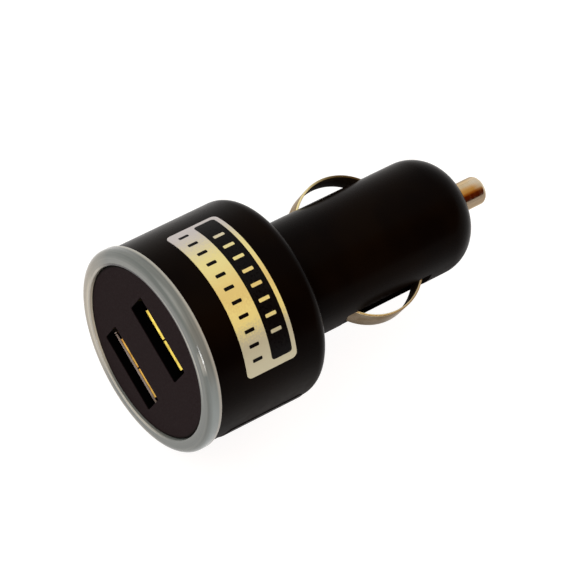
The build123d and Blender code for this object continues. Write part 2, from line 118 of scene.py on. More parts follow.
# Flanks of a piece: a direction across the axis, and the distances along it where a shade starts and where
# it is full, as shares of the piece's radius. They place painted light and shade on the ring and the pin.
FLANKS = {
    "ring_left": ((-0.8, 0.0, -0.6), 0.5, 1.0),
    "ring_under": ((-0.34, 0.0, -0.94), 0.3, 0.8),
    "ring_top": ((-0.5, 0.0, 0.87), 0.45, 0.7),
    "ring_beside": ((0.17, 0.0, 0.98), 0.6, 0.85),
    "pin_right": ((0.82, 0.0, 0.57), 0.78, 0.95),
    "pin_left": ((-0.966, 0.0, 0.259), 0.92, 0.99),
    "pin_top": ((0.087, 0.0, 0.996), 0.87, 0.985),
}
# Bands: distances from an edge where a shade starts and where it is full. They bound painted light and shade
# on the ring, the plate and the pin.
BANDS = {
    "ring_inside": (1.2 * MM, 0.5 * MM),
    "ring_rim": (0.46 * MM, 0.36 * MM),
    "ring_round": (-1.5 * MM, -1.0 * MM),
    "ring_back_highlight": (-0.75 * MM, -0.35 * MM),
    "plate_rim_shade": (-0.5 * MM, -0.25 * MM),
    "plate_walls": (0.0, 0.2 * MM),
    "pin_end": (-0.9 * MM, -2.6 * MM),
}
# Lines: distance of the middle from an edge, and half the width. They bound painted highlight and shade
# lines on the ring and on the ledge.
LINES = {
    "ring_face": (0.0, 0.2 * MM),
    "ring_pale_highlight": (0.58 * MM, 0.18 * MM),
    "ring_crest": (-0.35 * MM, 0.3 * MM),
    "ring_crest_depth": (0.35 * MM, 0.3 * MM),
    "ledge_depth": (1.9 * MM, 0.2 * MM),
    "ledge_height": (-10.4 * MM, 0.1 * MM),
}
# Amount of a shade that has no bounds.
EVERYWHERE = 1.0
# Depths where the painted light on the ring's wall starts and is full, as shares of the round at its edge,
# and the amount by which its streaks change from side to side.
RING_WALL = (0.1, 0.7)
STREAK_DRIFT = 1.0 * MM
# Roughness that the moulding's dull side gains, and reach of the foil's grain along its colours.
MOULDING_DULLER = 0.32
FOIL_GRAIN = 0.03
# Share of the half width where a strip's cut side starts, gloss of its inner face, and tints at the edges
# of the strips and the pin.
STRIP_CUT_SHARE = 0.95
STRIP_INNER_SHINE = 0.05
STRIP_INNER_ROUGHNESS = 0.8
STRIP_EDGE_TINT = (0.60, 0.53, 0.46)
PIN_EDGE_TINT = (0.8, 0.74, 0.64)
# Finishes of inner plastics: name, colour, mottle, roughness, lumps to a metre, and nodes.
INNER_PLASTICS = (
    ("port_block", (0.006, 0.006, 0.007), (0.011, 0.010, 0.010), 0.5, 1500.0,
     ("usb_insulator_upper", "usb_insulator_lower")),
    ("board_mask", (0.012, 0.085, 0.03), (0.02, 0.12, 0.045), 0.38, 1400.0, ("circuit_board",)),
    ("ferrite", (0.02, 0.02, 0.022), (0.05, 0.048, 0.05), 0.6, 3200.0, ("choke_core",)),
    ("chip_body", (0.012, 0.012, 0.013), (0.022, 0.022, 0.022), 0.55, 4200.0,
     ("converter_chip", "catch_diode", "chip_resistors")),
    ("lamp_body", (0.62, 0.61, 0.52), (0.7, 0.69, 0.62), 0.4, 1500.0, ("indicator_leds",)),
)
# Finishes of inner metals: name, colour, worn colour, roughness, grain to a metre, stretch of the grain,
# worn spots to a metre, and nodes.
INNER_METALS = (
    ("port_contact", (0.75, 0.56, 0.24), (0.55, 0.40, 0.2), 0.25, 2600.0, (1.0, 0.2, 1.0), 900.0,
     ("usb_contacts_upper", "usb_contacts_lower", "tip_terminal")),
    ("drawn_can", (0.6, 0.6, 0.62), (0.45, 0.45, 0.47), 0.28, 2200.0, (1.0, 1.0, 0.15), 700.0,
     ("input_capacitor", "output_capacitor")),
    ("enamelled_wire", (0.5, 0.2, 0.07), (0.34, 0.12, 0.04), 0.3, 3600.0, (0.1, 0.1, 1.0), 900.0,
     ("choke_winding",)),
)

# Half the side of the floor, and its rows of points.
FLOOR_HALF = 4.0
FLOOR_STEPS = 9
# Heights on the unit sphere between which the white horizon goes over to the sky.
SKY_LOW = 0.3
SKY_HIGH = 0.38
# Side, place and tint of each lamp, the point that both face, and the direction that is up.
LAMPS = {
    "key_lamp": (0.9, (-0.5, -0.6, 0.8), (1.0, 0.985, 0.96)),
    "fill_lamp": (0.3, (0.58, -0.63, 0.63), (0.98, 0.99, 1.0)),
}
LAMP_AIM = (0.0, 0.01, 0.0)
UPWARDS = (0.0, 0.0, 1.0)
# Camera: its own right, up and back, its shift in pixels, and its sensor and clipping.
CAMERA_AXES = (
    (0.505836, 0.791639, 0.342691),
    (-0.849977, 0.389607, 0.354607),
    (0.147205, -0.470652, 0.869952),
)
CAMERA_SHIFT = (2.30, -6.05)
IMAGE_SIDE = 573
SENSOR_WIDTH = 36.0
CLIP_START = 0.01
CLIP_END = 100.0


def length(name, words, millimetres):
    """A length property with its default in millimetres."""
    return bpy.props.FloatProperty(
        name=name, description=words, default=millimetres * MM, min=0.0, precision=5,
        unit="LENGTH", subtype="DISTANCE"
    )


def colour(name, words, value):
    """A colour property with its linear default."""
    return bpy.props.FloatVectorProperty(
        name=name, description=words, default=value, min=0.0, max=1.0, size=3, subtype="COLOR"
    )


def share(name, words, value):
    """A property from 0 to 1."""
    return bpy.props.FloatProperty(name=name, description=words, default=value, min=0.0, max=1.0)


def power(name, words, watts):
    """A lamp's power."""
    return bpy.props.FloatProperty(name=name, description=words, default=watts, min=0.0, unit="POWER")


class CHARGER_PG_sizes(bpy.types.PropertyGroup):
    """Sizes of the outer pieces."""

    barrel_radius: length("Barrel radius", "Outside of the plug barrel", 10.5)
    barrel_wall: length("Barrel wall", "Wall of the plug barrel", 1.6)
    nose_round: length("Nose round", "Round at the end of the barrel", 7.0)
    nose_wall: length("Nose wall", "Wall at the end of the barrel", 1.8)
    root_round: length("Root round", "Hollow round where the barrel leaves the head", 0.5)
    head_front_radius: length("Head front radius", "Outside of the head behind the light ring", 17.9)
    head_rear_radius: length("Head rear radius", "Outside of the head at the shoulder", 18.0)
    head_wall: length("Head wall", "Wall of the head", 1.8)
    shoulder_wall: length("Shoulder wall", "Wall between the head and the barrel", 2.2)
    shoulder_round: length("Shoulder round", "Round between the head and its shoulder", 2.7)
    pin_hole_radius: length("Pin hole radius", "Hole in the nose for the centre pin", 2.85)
    slot_length: length("Slot length", "Slot in the barrel for a side contact, along the barrel", 18.599)
    slot_width: length("Slot width", "Slot in the barrel for a side contact, across it", 5.2)
    slot_corner: length("Slot corner", "Round of the slot's corners", 0.4)
    ring_face: length("Ring face", "Width of the light ring's face", 2.6)
    ring_depth: length("Ring depth", "Part of the light ring in front of the head", 2.45)
    ring_round: length("Ring round", "Round at the light ring's outer edge", 1.2)
    ring_edge: length("Ring edge", "Small round at the light ring's other edges", 0.2)
    ring_spigot_outer: length("Ring spigot outer", "Outside of the light ring's spigot", 16.0)
    ring_spigot_inner: length("Ring spigot inner", "Inside of the light ring's spigot", 14.6)
    ring_seat: length("Ring seat", "Depth of the seat for the front plate", 1.95)
    strip_width: length("Strip width", "Width of a side contact", 4.4)
    strip_thickness: length("Strip thickness", "Sheet of a side contact", 0.4)
    strip_edge: length("Strip edge", "Round of a side contact's edges", 0.1)
    strip_height: length("Strip height", "How far a side contact stands out of the barrel", 2.8)
    strip_chord: length("Strip chord", "Bow of a side contact where it leaves the barrel", 13.8)
    strip_foot: length("Strip foot", "Straight foot at each end of a side contact", 2.4)
    strip_bend: length("Strip bend", "Small bend between a side contact's foot and bow", 0.8)
    pin_radius: length("Pin radius", "Centre pin", 2.6)
    pin_round: length("Pin round", "Round at the centre pin's end", 1.1)
    pin_flange: length("Pin flange", "Thickness of the pin's flange inside the nose", 1.2)
    pin_spigot_radius: length("Pin spigot radius", "Spigot that guides the spring", 1.7)
    pin_spigot: length("Pin spigot", "Length of the spigot that guides the spring", 2.4)
    spring_wire: length("Spring wire", "Wire of the spring behind the pin", 0.6)
    badge_corner: length("Badge corner", "Round of the foil label's corners", 1.0)
    badge_sheet: length("Badge sheet", "Thickness of the foil label", 0.12)
    band_from_front: length("Band from front", "Start of the black band, from the ring's face", 13.15)
    band_width: length("Band width", "Width of the black band", 4.1)
    band_length: length("Band length", "Length of the black band round the head", 28.2)
    band_corner: length("Band corner", "Round of the black band's corners", 0.6)
    mark_width: length("Mark width", "Width of one plain bar on the label", 0.62)
    front_marks_start: length("Front marks start", "Start of the foil's bars, from the ring's face", 9.5)
    front_marks_height: length("Front marks height", "Height of the bars on the foil", 1.9)
    front_marks_run: length("Front marks run", "Length of the row of bars on the foil", 26.2)
    rear_marks_start: length("Rear marks start", "Start of the band's bars, from the ring's face", 14.1)
    rear_marks_height: length("Rear marks height", "Height of the bars on the band", 2.1)
    rear_marks_run: length("Rear marks run", "Length of the row of bars on the band", 19.6)
    ink_sheet: length("Ink sheet", "How far print stands on the label", 0.015)
    sticker_length: length("Sticker length", "Length of the plain sticker round the head", 29.6)
    sticker_sheet: length("Sticker sheet", "Thickness of the plain sticker", 0.15)


class CHARGER_PG_finishes(bpy.types.PropertyGroup):
    """Colours of the finishes."""

    moulding: colour("Moulding", "Glossy black plastic of head and barrel", (0.0021, 0.0009, 0.0005))
    moulding_sheen: colour("Moulding sheen", "Browner clouds in the plastic", (0.0040, 0.0018, 0.0007))
    plate: colour("Plate", "Matte plate round the ports", (0.0125, 0.0074, 0.0078))
    plate_grain: colour("Plate grain", "Lighter grain of the plate", (0.0175, 0.0108, 0.0114))
    # Painted shade: a dark line round the plate's edge, where it meets the light ring.
    plate_rim_shade: colour("Plate rim", "Dark line round the plate's edge", (0.0035, 0.0024, 0.0016))
    # Painted shade: slot walls near black, as the inside of the slots is in shade.
    slot_wall_shade: colour("Slot wall", "Walls of the plate's slots", (0.0004, 0.0003, 0.0003))
    # Painted highlight: the pale line along the ledge's edge in the lower slot is light painted into the
    # plate, not wear.
    ledge: colour("Ledge", "Worn edge of the ledge in the lower slot", (0.42, 0.345, 0.30))
    ring: colour("Ring", "Milky plastic of the light ring", (0.140, 0.151, 0.138))
    ring_dark: colour("Ring dark", "Darker streaks in the light ring", (0.108, 0.119, 0.110))
    ring_haze: colour("Ring haze", "Paler streaks in the light ring", (0.180, 0.189, 0.172))
    # Painted light and shade on the light ring, placed by side: a lit lower-left side with a glow inside it,
    # a lighter and cooler wall on the right, pale highlight lines at the inner edge, beside it and at the
    # back of the wall, and a shade line at the top of the inner edge.
    ring_lit: colour("Ring lit", "Side of the ring that light comes through", (0.40, 0.36, 0.29))
    ring_glow: colour("Ring glow", "Brightest part of that side, inside", (0.56, 0.51, 0.40))
    ring_wall_lit: colour("Ring wall", "Wall of the light ring on the right", (0.232, 0.270, 0.266))
    ring_edge: colour("Ring edge", "Thin line at the light ring's inner edge", (0.42, 0.40, 0.34))
    ring_gap_shade: colour("Ring gap", "Dark part of that line, at the top", (0.008, 0.006, 0.005))
    ring_pale_highlight: colour("Ring pale", "Pale line beside the dark one", (0.28, 0.28, 0.25))
    ring_back_highlight: colour("Ring back", "Thin line at the back of the ring's wall", (0.38, 0.37, 0.32))
    # The foil's silver is its own colour; its pale and bright gold towards the middle are painted warm
    # reflection, and its darker right end is painted shade.
    foil_silver: colour("Foil silver", "Left end of the foil label", (0.51, 0.475, 0.465))
    foil_pale_reflection: colour("Foil pale", "Pale gold of the foil label", (0.76, 0.665, 0.265))
    foil_gold_reflection: colour("Foil gold", "Middle of the foil label", (0.765, 0.585, 0.20))
    foil_bright_reflection: colour("Foil bright", "Brighter gold right of the middle", (0.93, 0.795, 0.29))
    foil_shaded_end: colour("Foil dull", "Right end of the foil label", (0.575, 0.54, 0.37))
    ink: colour("Ink", "Black print on the label", (0.0022, 0.0016, 0.0016))
    ink_mottle: colour("Ink mottle", "Paler lumps in the print", (0.004, 0.003, 0.003))
    sticker: colour("Sticker", "Plain dark sticker under the head", (0.0036, 0.0026, 0.0023))
    sticker_mottle: colour("Sticker mottle", "Paler lumps in the sticker", (0.0048, 0.0032, 0.0026))
    # The two side contacts are lit and shaded copies of one plating: the right one is painted darker as
    # shade, and the worn patches on each are the plating's own.
    strip: colour("Strip", "Left side contact", (0.33, 0.26, 0.165))
    strip_worn: colour("Strip worn", "Worn patches on the left side contact", (0.28, 0.20, 0.10))
    strip_shaded: colour("Strip dull", "Right side contact", (0.20, 0.168, 0.132))
    strip_shaded_worn: colour("Strip dull worn", "Worn patches on the right one", (0.15, 0.115, 0.08))
    # Painted shade on the inner faces of the side contacts.
    strip_inner_shade: colour("Strip inner", "Inner faces of the side contacts", (0.03, 0.02, 0.011))
    # Painted highlight on the strips' cut sides near the head, going over to painted shade on the left one
    # and to a fainter painted highlight on the right one at the nose.
    strip_cut_highlight: colour("Strip cut", "Cut sides of the strips, towards the head", (1.0, 0.86, 0.45))
    strip_cut_shade: colour("Strip cut dark", "Left one's cut sides, at the nose", (0.10, 0.06, 0.02))
    strip_cut_faint_highlight: colour("Strip cut worn", "Right one's cut sides, at the nose", (0.62, 0.52, 0.31))
    pin: colour("Pin", "Centre pin", (0.575, 0.485, 0.36))
    pin_worn: colour("Pin worn", "Warmer patches on the centre pin", (0.52, 0.37, 0.19))
    # Painted shade on the pin's sides, and a painted dark warm reflection along its top.
    pin_shaded_sides: colour("Pin dull", "Duller sides of the centre pin", (0.29, 0.22, 0.15))
    pin_dark_reflection: colour("Pin tarnish", "Amber tarnish along the pin's top", (0.50, 0.25, 0.06))
    gilt: colour("Gilt", "Upper port shell", (0.65, 0.52, 0.11))
    gilt_worn: colour("Gilt worn", "Darker patches on the upper port shell", (0.46, 0.33, 0.06))
    gilt_orange: colour("Gilt orange", "Lower port shell", (0.50, 0.305, 0.07))
    gilt_orange_worn: colour("Gilt orange worn", "Darker patches on the lower one", (0.34, 0.16, 0.03))
    spring: colour("Spring", "Wire of the spring", (0.42, 0.42, 0.43))
    spring_worn: colour("Spring worn", "Darker patches on the wire", (0.30, 0.29, 0.28))


class CHARGER_PG_stage(bpy.types.PropertyGroup):
    """Floor, lamps and camera."""

    floor_white: share("Floor white", "Share of light that the floor gives back", 0.40)
    floor_lift: share("Floor lift", "Added white of the floor in the picture", 0.80)
    sky_left: colour("Sky left", "Soft light from the left", (0.95, 0.95, 0.95))
    sky_top: colour("Sky top", "Light from above", (0.78, 0.74, 0.66))
    sky_warm: colour("Sky warm", "Warm light between the pale and the dark side", (0.45, 0.22, 0.06))
    sky_dark: colour("Sky dark", "Dark side on the right", (0.12, 0.02, 0.002))
    sky_stops: bpy.props.FloatVectorProperty(
        name="Sky stops", description="Places of the four skies, from 0 on the left to 1 on the right",
        default=(0.2, 0.45, 0.58, 0.68), size=4, min=0.0, max=1.0
    )
    key_power: power("Key power", "Large soft lamp on the left", 3.2)
    fill_power: power("Fill power", "Soft lamp on the right", 4.6)
    lens: bpy.props.FloatProperty(
        name="Lens", description="Focal length on a 36 mm sensor, in mm", default=197.1
    )
    camera_place: bpy.props.FloatVectorProperty(
        name="Camera place", description="Where the camera stands", default=(0.07770, -0.24611, 0.46293),
        size=3, subtype="TRANSLATION", unit="LENGTH"
    )


def run(start, end, count):
    """Straight run of count points from start towards end, without its end."""
    along = np.linspace(0.0, 1.0, count, endpoint=False)[:, None]
    return np.array(start) * (1.0 - along) + np.array(end) * along


def chain(*stops):
    """Straight runs from stop to stop, without the last one. A stop is a radius, a station and the number of
    points from it to the next stop."""
    return np.concatenate([run(stop[:2], after[:2], stop[2]) for stop, after in zip(stops, stops[1:])])


def turn(centre, radius, first, last, count):
    """Arc of count points about centre, between two angles in degrees, without its end."""
    angle = np.radians(np.linspace(first, last, count, endpoint=False))
    return np.array(centre) + radius * np.stack([np.cos(angle), np.sin(angle)], -1)


def spin(profile, angles):
    """Surface of revolution: (radius, station) turned about Y, so x = r cos a, y = station, z = r sin a."""
    radius, station = profile[:, 0, None], profile[:, 1, None]
    return np.stack([radius * np.cos(angles), station + 0.0 * angles, radius * np.sin(angles)], -1)


def grid_quads(rows, columns, wrap_rows=False, wrap_columns=False):
    """Corners of the quads of a grid of points, with both directions open or closed on themselves."""
    row_count = rows if wrap_rows else rows - 1
    column_count = columns if wrap_columns else columns - 1
    i, j = np.meshgrid(np.arange(row_count), np.arange(column_count), indexing="ij")
    k, m = (i + 1) % rows, (j + 1) % columns
    return np.stack([i * columns + j, i * columns + m, k * columns + m, k * columns + j], -1)


def turned(profile, steps, closed):
    """Points and faces of a profile turned right round Y; a closed profile joins its own start."""
    angles = np.linspace(0.0, 2.0 * pi, steps, endpoint=False)[None, :]
    return spin(profile, angles), grid_quads(len(profile), steps, closed, True)


def block_border(rows, across, columns):
    """Numbers of the points round the border of a block of rows and columns in a grid, in turn."""
    return np.concatenate([
        rows[0] * columns + across[:-1], rows[:-1] * columns + across[-1],
        rows[-1] * columns + across[:0:-1], rows[:0:-1] * columns + across[0],
    ])


def closed_sheet(top, bottom):
    """Two grids of the same shape as the faces of a thin sheet, with a strip round their border."""
    rows, columns = top.shape[:2]
    border = block_border(np.arange(rows), np.arange(columns), columns)
    after = np.roll(border, -1)
    faces = grid_quads(rows, columns).reshape(-1, 4)
    under = faces[:, ::-1] + rows * columns
    strip = np.stack([border, after, after + rows * columns, border + rows * columns], -1)
    points = np.concatenate([top.reshape(-1, 3), bottom.reshape(-1, 3)])
    return points, np.concatenate([faces, under, strip])


def make_piece(name, points, faces, finish, slot, body, nodes=()):
    """Closed mesh from arrays, with doubles merged, faces turned outwards and sharp edges kept."""
    mesh = bpy.data.meshes.new(name)
    mesh.from_pydata(points.reshape(-1, 3).tolist(), [], faces.reshape(-1, 4).tolist())
    work = bmesh.new()
    work.from_mesh(mesh)
    bmesh.ops.remove_doubles(work, verts=work.verts, dist=MERGE_DISTANCE)
    bmesh.ops.recalc_face_normals(work, faces=work.faces)
    work.to_mesh(mesh)
    work.free()
    mesh.shade_smooth()
    mesh.set_sharp_from_angle(angle=radians(SHARP_ANGLE))
    piece = bpy.data.objects.new(name, mesh)
    bpy.context.scene.collection.objects.link(piece)
    mesh.materials.append(finish)
    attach(piece, body)
    if nodes:
        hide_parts(*nodes)
    return piece


class Nodes:
    """Nodes of one tree. Where a value may be a socket or fixed, a socket is linked and the other is set."""

    place = None

    def __init__(self, tree):
        self.tree = tree

    def node(self, kind, **settings):
        made = self.tree.nodes.new(kind)
        for key, value in settings.items():
            setattr(made, key, value)
        return made

    def feed(self, target, value):
        """Give an input a socket or a fixed value."""
        if isinstance(value, bpy.types.NodeSocket):
            self.tree.links.new(value, target)
        else:
            target.default_value = value

    def math(self, operation, *values):
        """Result of a Math node."""
        made = self.node("ShaderNodeMath", operation=operation)
        for target, value in zip(made.inputs, values):
            self.feed(target, value)
        return made.outputs["Value"]

    def vector(self, operation, output, *values):
        """Result of a Vector Math node, from the output that its operation fills."""
        made = self.node("ShaderNodeVectorMath", operation=operation)
        for target, value in zip(made.inputs, values):
            self.feed(target, value)
        return made.outputs[output]

    def both(self, first, second):
        """Product of two shares."""
        return self.math("MULTIPLY", first, second)

    def axis(self, name, place=None):
        """One coordinate of a place, or of the piece's own place."""
        apart = self.node("ShaderNodeSeparateXYZ")
        self.feed(apart.inputs["Vector"], place or self.place)
        return apart.outputs[name]

    def spread(self, source, low, high, to_low, to_high, kind="LINEAR"):
        """Carry a range of values over to another range."""
        spread = self.node("ShaderNodeMapRange", interpolation_type=kind)
        for socket, value in zip(("From Min", "From Max", "To Min", "To Max"), (low, high, to_low, to_high)):
            spread.inputs[socket].default_value = value
        self.feed(spread.inputs["Value"], source)
        return spread.outputs["Result"]

    def fade(self, source, none, full, kind="LINEAR"):
        """Share from 0, where a value is none, to 1, where it is full."""
        return self.spread(source, none, full, 0.0, 1.0, kind)

    def ramp(self, source, *stops):
        """Colours by value: each stop is a place from 0 to 1 and a colour."""
        ramp = self.node("ShaderNodeValToRGB")
        ramp.color_ramp.interpolation = "EASE"
        for place, shade in stops[2:]:
            ramp.color_ramp.elements.new(place)
        for element, (place, shade) in zip(ramp.color_ramp.elements, stops):
            element.position = place
            element.color = (*shade, 1.0)
        self.feed(ramp.inputs["Fac"], source)
        return ramp.outputs["Color"]

    def mixed(self, amount, first, second):
        """First colour where the amount is 0 and second where it is 1."""
        mix = self.node("ShaderNodeMix", data_type="RGBA")
        self.feed(mix.inputs["Factor"], amount)
        for name, shade in (("A", first), ("B", second)):
            fixed = not isinstance(shade, bpy.types.NodeSocket)
            self.feed(mix.inputs[name], (*shade, 1.0) if fixed else shade)
        return mix.outputs["Result"]


class Finish(Nodes):
    """Node material: one shader, with textures that read the piece's own Object coordinates."""

    def __init__(self, name, roughness, metallic=0.0, **sockets):
        self.material = bpy.data.materials.new(name)
        self.material.use_nodes = True
        super().__init__(self.material.node_tree)
        self.tree.nodes.clear()
        self.roughness = roughness
        self.shader = self.node("ShaderNodeBsdfPrincipled")
        self.feed(self.node("ShaderNodeOutputMaterial").inputs["Surface"], self.shader.outputs["BSDF"])
        self.place = self.node("ShaderNodeTexCoord").outputs["Object"]
        self.set("Metallic", metallic)
        for socket, value in sockets.items():
            self.set(socket.replace("_", " "), value)

    def set(self, socket, value):
        """Give an input of the shader a socket or a fixed value."""
        self.feed(self.shader.inputs[socket], value)

    def stretched(self, scale):
        """Object coordinates stretched along each axis."""
        mapping = self.node("ShaderNodeMapping")
        mapping.inputs["Scale"].default_value = scale
        self.feed(mapping.inputs["Vector"], self.place)
        return mapping.outputs["Vector"]

    def noise(self, scale, detail=3.0, place=None):
        """Noise of so many lumps to a metre."""
        noise = self.node("ShaderNodeTexNoise")
        noise.inputs["Scale"].default_value = scale
        noise.inputs["Detail"].default_value = detail
        self.feed(noise.inputs["Vector"], place or self.place)
        return noise.outputs["Fac"]

    def off_axis(self):
        """Distance from the plug's axis."""
        return self.vector("LENGTH", "Value", self.stretched(ACROSS))

    def side(self, name):
        """Share by the angle at which a point lies off the plug's axis, from the row of its name."""
        direction, none, full = SIDES[name]
        unit = self.vector("NORMALIZE", "Vector", self.stretched(ACROSS))
        return self.fade(self.vector("DOT_PRODUCT", "Value", unit, direction), none, full)

    def flank(self, name, radius):
        """Share by the distance along a direction, from the row of its name."""
        direction, none, full = FLANKS[name]
        along = self.vector("DOT_PRODUCT", "Value", self.place, direction)
        return self.fade(along, none * radius, full * radius)

    def band(self, name, source, edge):
        """Share by the distance of a value from an edge, from the row of its name."""
        none, full = BANDS[name]
        return self.fade(source, edge + none, edge + full)

    def line(self, name, source, edge):
        """1 on a line at a distance from an edge, from the row of its name, else 0."""
        middle, reach = LINES[name]
        return self.math("COMPARE", source, edge + middle, reach)

    def roughened(self, source, less, more):
        """Roughness that follows a noise, from less than the finish's own to more than it."""
        low, high = self.roughness - less, self.roughness + more
        return self.spread(source, NOISE_LOW, NOISE_HIGH, low, high)

    def bump(self, source, depth, strength):
        """Small relief of a depth in metres."""
        bump = self.node("ShaderNodeBump")
        bump.inputs["Distance"].default_value = depth
        bump.inputs["Strength"].default_value = strength
        self.feed(bump.inputs["Height"], source)
        self.set("Normal", bump.outputs["Normal"])


def gloss_moulding(shades):
    """Polished black plastic with faint brown clouds and the slight ripple of a moulding, duller under its
    right."""
    finish = Finish("gloss_moulding", roughness=0.25, Specular_IOR_Level=0.019)
    clouds = finish.noise(scale=90.0, detail=2.0)
    finish.set("Base Color", finish.ramp(clouds, (0.35, shades.moulding), (0.7, shades.moulding_sheen)))
    polish = finish.roughened(finish.noise(scale=700.0, detail=4.0), less=0.03, more=0.03)
    dull = finish.both(finish.side("moulding_dull"), MOULDING_DULLER)
    finish.set("Roughness", finish.math("ADD", polish, dull))
    finish.bump(finish.noise(scale=260.0, detail=1.0), depth=3e-6, strength=0.5)
    return finish.material


def milky_plastic(shades, sizes):
    """Cloudy translucent plastic with streaks that run round the ring, and painted light and shade: lit
    sides with a glow where light comes through, a lighter right wall, thin highlight lines at the face's
    inner edge, beside it and at the back of the wall, a glint on the round, and a shade line at the top of
    the inner edge."""
    finish = Finish("milky_plastic", roughness=0.18, Specular_IOR_Level=0.5)
    radius, depth = finish.off_axis(), finish.axis("Y")
    front, outer = ring_low.y, ring_high.x
    inner, back = outer - sizes.ring_face, front + sizes.ring_depth
    drift = finish.spread(finish.axis("X"), ring_low.x, ring_high.x, -STREAK_DRIFT, STREAK_DRIFT)
    round_ring = finish.node("ShaderNodeCombineXYZ")
    for target, value in zip(round_ring.inputs, (radius, depth, drift)):
        finish.feed(target, value)
    streaks = finish.noise(scale=900.0, detail=2.0, place=round_ring.outputs["Vector"])
    body = finish.ramp(streaks, (0.36, shades.ring_dark), (0.5, shades.ring), (0.66, shades.ring_haze))
    start, end = (front + part * sizes.ring_round for part in RING_WALL)
    # Painted highlight line at the inner edge, with a painted shade at its top and the ring's plain tone on
    # the right.
    line = finish.mixed(finish.flank("ring_top", outer), shades.ring_edge, shades.ring_gap_shade)
    line = finish.mixed(finish.side("ring_plain"), line, shades.ring)
    # Painted highlight beside that line, brighter towards one side, and a painted glint on the outer round.
    pale = finish.mixed(finish.side("ring_bright"), shades.ring_pale_highlight, shades.ring_back_highlight)
    crest = finish.line("ring_crest", radius, outer)
    crest = finish.both(crest, finish.line("ring_crest_depth", depth, front))
    # Each row paints light or shade: a lighter right wall, a lit left side, a glow inside it, a lit lower
    # round, the edge line, the line beside it, the glint and a highlight at the back of the wall.
    for where, within, shade in (
        (finish.fade(depth, start, end), finish.side("ring_cool"), shades.ring_wall_lit),
        (finish.flank("ring_left", outer), EVERYWHERE, shades.ring_lit),
        (finish.side("ring_glow"), finish.band("ring_inside", radius, inner), shades.ring_glow),
        (finish.band("ring_round", radius, outer), finish.flank("ring_under", outer), shades.ring_lit),
        (finish.band("ring_rim", radius, inner), finish.line("ring_face", depth, front), line),
        (finish.flank("ring_beside", outer), finish.line("ring_pale_highlight", radius, inner), pale),
        (finish.side("ring_glint"), crest, shades.ring_pale_highlight),
        (finish.band("ring_back_highlight", depth, back), EVERYWHERE, shades.ring_back_highlight),
    ):
        body = finish.mixed(finish.both(where, within), body, shade)
    finish.set("Base Color", body)
    finish.set("Roughness", finish.roughened(streaks, less=0.05, more=0.06))
    return finish.material


def grained_plate(shades):
    """Dark matte plastic with a fine eroded grain, a painted shade line round its edge, slot walls painted
    near black as shade, and a painted highlight along the ledge in the lower slot."""
    finish = Finish("grained_plate", roughness=0.62, Specular_IOR_Level=0.02)
    depth = finish.axis("Y")
    grain = finish.noise(scale=6500.0)
    speckle = finish.ramp(grain, (0.35, shades.plate), (0.75, shades.plate_grain))
    # Painted shade round the plate's edge, where it meets the ring.
    rim = finish.band("plate_rim_shade", finish.off_axis(), plate_high.x)
    speckle = finish.mixed(rim, speckle, shades.plate_rim_shade)
    # Painted highlight along the ledge's edge in the lower slot.
    ledge = finish.line("ledge_depth", depth, plate_low.y)
    ledge = finish.both(ledge, finish.line("ledge_height", finish.axis("Z"), 0.0))
    # Slot walls painted near black as shade, with the ledge's painted highlight on them.
    walls = finish.mixed(ledge, shades.slot_wall_shade, shades.ledge)
    finish.set("Base Color", finish.mixed(finish.band("plate_walls", depth, plate_low.y), speckle, walls))
    rough = finish.roughened(finish.noise(scale=2500.0, detail=2.0), less=0.07, more=0.08)
    finish.set("Roughness", rough)
    finish.bump(grain, depth=1.2e-5, strength=0.5)
    return finish.material


def satin_foil(shades):
    """Satin foil with a fine grain, silver at the ends of the label; towards its middle it is golden with
    painted warm reflection, and its right end is darker with painted shade.
    """
    finish = Finish("satin_foil", roughness=0.36, metallic=0.2)
    along = finish.fade(finish.axis("X"), badge_low.x, badge_high.x)
    grain = finish.noise(scale=3200.0, detail=2.0)
    grain = finish.spread(grain, NOISE_LOW, NOISE_HIGH, -FOIL_GRAIN, FOIL_GRAIN)
    # Painted warm reflection and shade along the label, over the fine grain.
    foil = finish.ramp(
        finish.math("ADD", along, grain),
        (0.02, shades.foil_silver), (0.30, shades.foil_pale_reflection), (0.52, shades.foil_gold_reflection),
        (0.69, shades.foil_bright_reflection), (0.84, shades.foil_shaded_end)
    )
    finish.set("Base Color", foil)
    lines = finish.noise(scale=3000.0, place=finish.stretched((1.0, 0.25, 1.0)))
    finish.set("Roughness", finish.roughened(lines, less=0.08, more=0.08))
    finish.bump(finish.noise(scale=5200.0, detail=2.0), depth=3e-6, strength=0.4)
    return finish.material


def worn_metal(name, bright, worn, roughness, grain, stretch, spots, cover=None, edge_tint=WHITE):
    """Plated metal with drawn grain along one direction and warmer worn patches; cover may add to its colour
    and roughness, and edge_tint is its shade at grazing angles."""
    finish = Finish(name, roughness, metallic=1.0, Specular_Tint=(*edge_tint, 1.0))
    plating = finish.ramp(finish.noise(spots, detail=4.0), (0.38, bright), (0.72, worn))
    lines = finish.noise(grain, place=finish.stretched(stretch))
    rough = finish.roughened(lines, less=0.08, more=0.1)
    if cover:
        plating, rough = cover(finish, plating, rough)
    finish.set("Base Color", plating)
    finish.set("Roughness", rough)
    finish.bump(lines, depth=3e-6, strength=0.5)
    return finish.material


